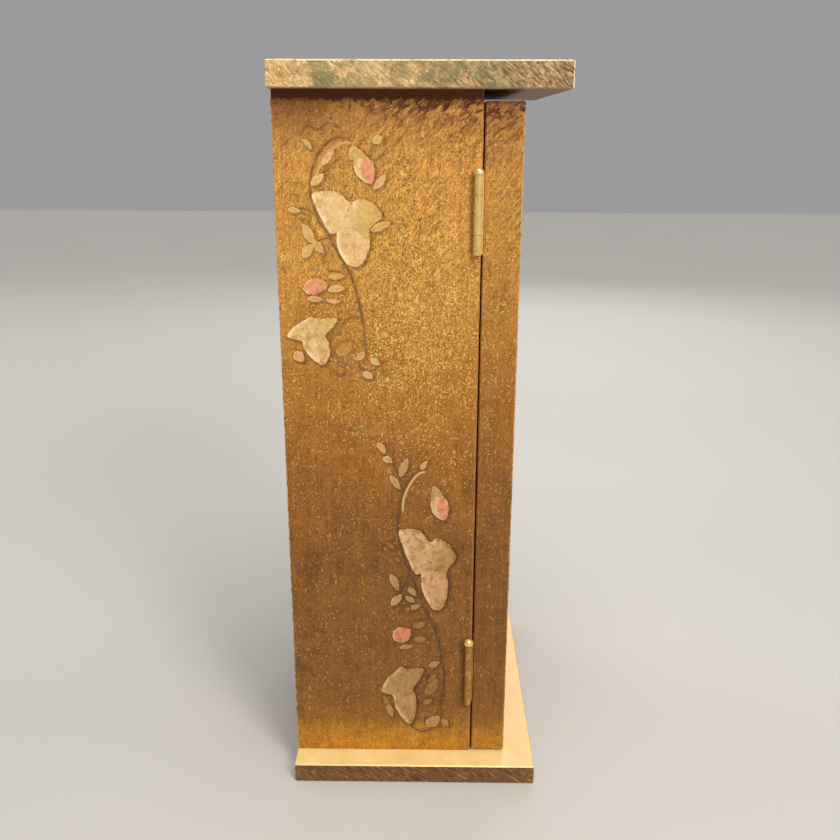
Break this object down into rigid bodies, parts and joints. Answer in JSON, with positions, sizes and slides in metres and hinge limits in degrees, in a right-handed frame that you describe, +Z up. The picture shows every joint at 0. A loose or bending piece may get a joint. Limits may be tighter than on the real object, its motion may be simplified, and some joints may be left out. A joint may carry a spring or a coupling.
{
  "type": "jewellery chest with drawers",
  "caption": "Tall narrow painted jewellery chest: a carcase with overhanging top and base boards and a column of lined drawers behind one hinged, framed door.",
  "frame": {"origin": "centre of the base board's underside, on the surface that the chest stands on", "axes": "+Z up, -Y towards the door, +X towards the door's knob side"},
  "size_m": [0.1366, 0.1106, 0.305],
  "materials": {
    "gold_paint": "sponged bronze-gold paint with bright gold flecks and paper leaf decoration, over brown-stained wood",
    "cream_gold_paint": "rubbed cream-gold paint with worn pale edges",
    "pale_gold_paint": "satin pale gold paint over brown",
    "back_paint": "thin brown-gold paint over wood",
    "bare_wood": "plain stained light wood",
    "brass": "bright worn brass plate",
    "painted_brass": "brass painted over with bronze-gold",
    "steel": "zinc-plated",
    "magnet": "dull nickel plate",
    "wine_velvet": "short-pile wine-red velvet"
  },
  "bodies": {
    "carcase": {"base_board": "pale_gold_paint", "top_board": "cream_gold_paint", "left_side_panel": "gold_paint", "right_side_panel": "gold_paint", "back_panel": "back_paint", "shelves": "bare_wood", "base_screws": "steel", "top_dowels": "bare_wood", "back_brads": "steel", "catch_magnet": "magnet", "upper_hinge_case_leaf": "brass", "lower_hinge_case_leaf": "painted_brass", "hinge_pins": "brass", "hinge_case_screws": "brass"},
    "door": {"door_left_stile": "gold_paint", "door_right_stile": "gold_paint", "door_top_rail": "gold_paint", "door_bottom_rail": "gold_paint", "door_panel": "gold_paint", "door_lining": "wine_velvet", "door_knob": "brass", "door_knob_screw": "steel", "strike_plate": "steel", "strike_screws": "steel", "upper_hinge_door_leaf": "brass", "lower_hinge_door_leaf": "painted_brass", "hinge_door_screws": "brass"},
    "drawer_1": {"drawer_1_front": "gold_paint", "drawer_1_sides": "bare_wood", "drawer_1_back": "bare_wood", "drawer_1_bottom": "bare_wood", "drawer_1_lining": "wine_velvet", "drawer_1_knob": "brass"},
    "drawer_2": {"drawer_2_front": "gold_paint", "drawer_2_sides": "bare_wood", "drawer_2_back": "bare_wood", "drawer_2_bottom": "bare_wood", "drawer_2_lining": "wine_velvet", "drawer_2_knob": "brass"},
    "drawer_3": {"drawer_3_front": "gold_paint", "drawer_3_sides": "bare_wood", "drawer_3_back": "bare_wood", "drawer_3_bottom": "bare_wood", "drawer_3_lining": "wine_velvet", "drawer_3_knob": "brass"},
    "drawer_4": {"drawer_4_front": "gold_paint", "drawer_4_sides": "bare_wood", "drawer_4_back": "bare_wood", "drawer_4_bottom": "bare_wood", "drawer_4_lining": "wine_velvet", "drawer_4_knob": "brass"},
    "drawer_5": {"drawer_5_front": "gold_paint", "drawer_5_sides": "bare_wood", "drawer_5_back": "bare_wood", "drawer_5_bottom": "bare_wood", "drawer_5_lining": "wine_velvet", "drawer_5_knob": "brass"}
  },
  "joints": [
    {"name": "door_hinge", "type": "hinge", "parent": "carcase", "child": "door", "pos_m": [-0.0591, -0.02215, 0.1504], "axis": [0, 0, -1], "range_deg": [0, 180]},
    {"name": "drawer_1_slide", "type": "slide", "parent": "carcase", "child": "drawer_1", "axis": [0, -1, 0], "range_m": [0, 0.0505]},
    {"name": "drawer_2_slide", "type": "slide", "parent": "carcase", "child": "drawer_2", "axis": [0, -1, 0], "range_m": [0, 0.0505]},
    {"name": "drawer_3_slide", "type": "slide", "parent": "carcase", "child": "drawer_3", "axis": [0, -1, 0], "range_m": [0, 0.0505]},
    {"name": "drawer_4_slide", "type": "slide", "parent": "carcase", "child": "drawer_4", "axis": [0, -1, 0], "range_m": [0, 0.0505]},
    {"name": "drawer_5_slide", "type": "slide", "parent": "carcase", "child": "drawer_5", "axis": [0, -1, 0], "range_m": [0, 0.0505]}
  ],
  "couplings": [
    {"joint": "drawer_1_slide", "follows": "door_hinge", "m_per_rad": 0.016},
    {"joint": "drawer_2_slide", "follows": "door_hinge", "m_per_rad": 0.016},
    {"joint": "drawer_3_slide", "follows": "door_hinge", "m_per_rad": 0.016},
    {"joint": "drawer_4_slide", "follows": "door_hinge", "m_per_rad": 0.016},
    {"joint": "drawer_5_slide", "follows": "door_hinge", "m_per_rad": 0.016}
  ]
}
